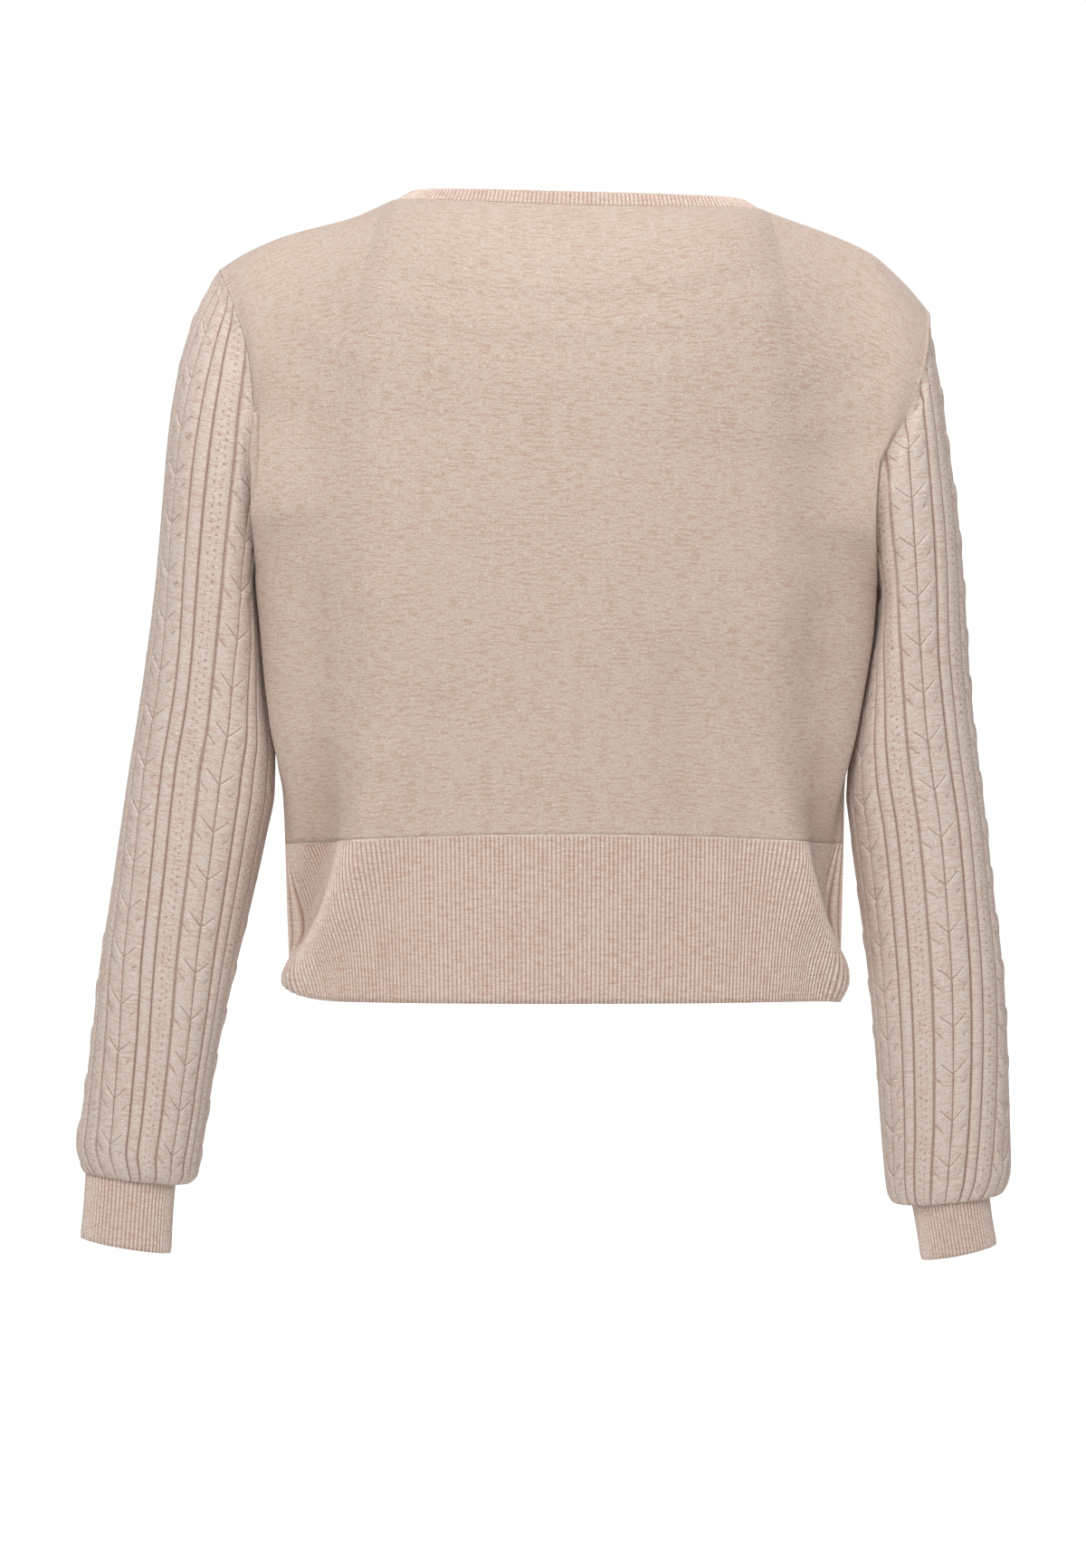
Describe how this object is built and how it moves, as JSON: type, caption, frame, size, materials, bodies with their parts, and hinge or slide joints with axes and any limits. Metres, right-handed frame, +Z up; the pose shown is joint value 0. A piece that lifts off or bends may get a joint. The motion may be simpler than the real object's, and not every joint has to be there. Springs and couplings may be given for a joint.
{
  "type": "cropped cardigan",
  "caption": "Hollow, filled-out cropped cardigan with plain jersey body, cable and eyelet rib sleeves, deep rib welt, rib cuffs and a buttoned front.",
  "frame": {"origin": "the middle of the base of the wearer's neck, level with the high shoulder points, where the wearer's shoulders hold the garment", "axes": "+Z up, -Y the way the front faces, +X to the wearer's left"},
  "size_m": [0.5886, 0.2191, 0.6627],
  "materials": {
    "knit": "matte fine wool knit, oatmeal pink melange",
    "button": "glossy pale shell-like button"
  },
  "bodies": {
    "root": {"back": "knit", "front_left": "knit", "front_right": "knit", "welt_back": "knit", "welt_front_left": "knit", "welt_front_right": "knit", "sleeve_left": "knit", "sleeve_right": "knit", "cuff_left": "knit", "cuff_right": "knit", "neckband": "knit", "band_left": "knit", "band_right": "knit", "button_1": "button", "button_2": "button", "button_3": "button", "button_4": "button", "button_5": "button", "button_6": "button", "button_7": "button"}
  },
  "joints": []
}
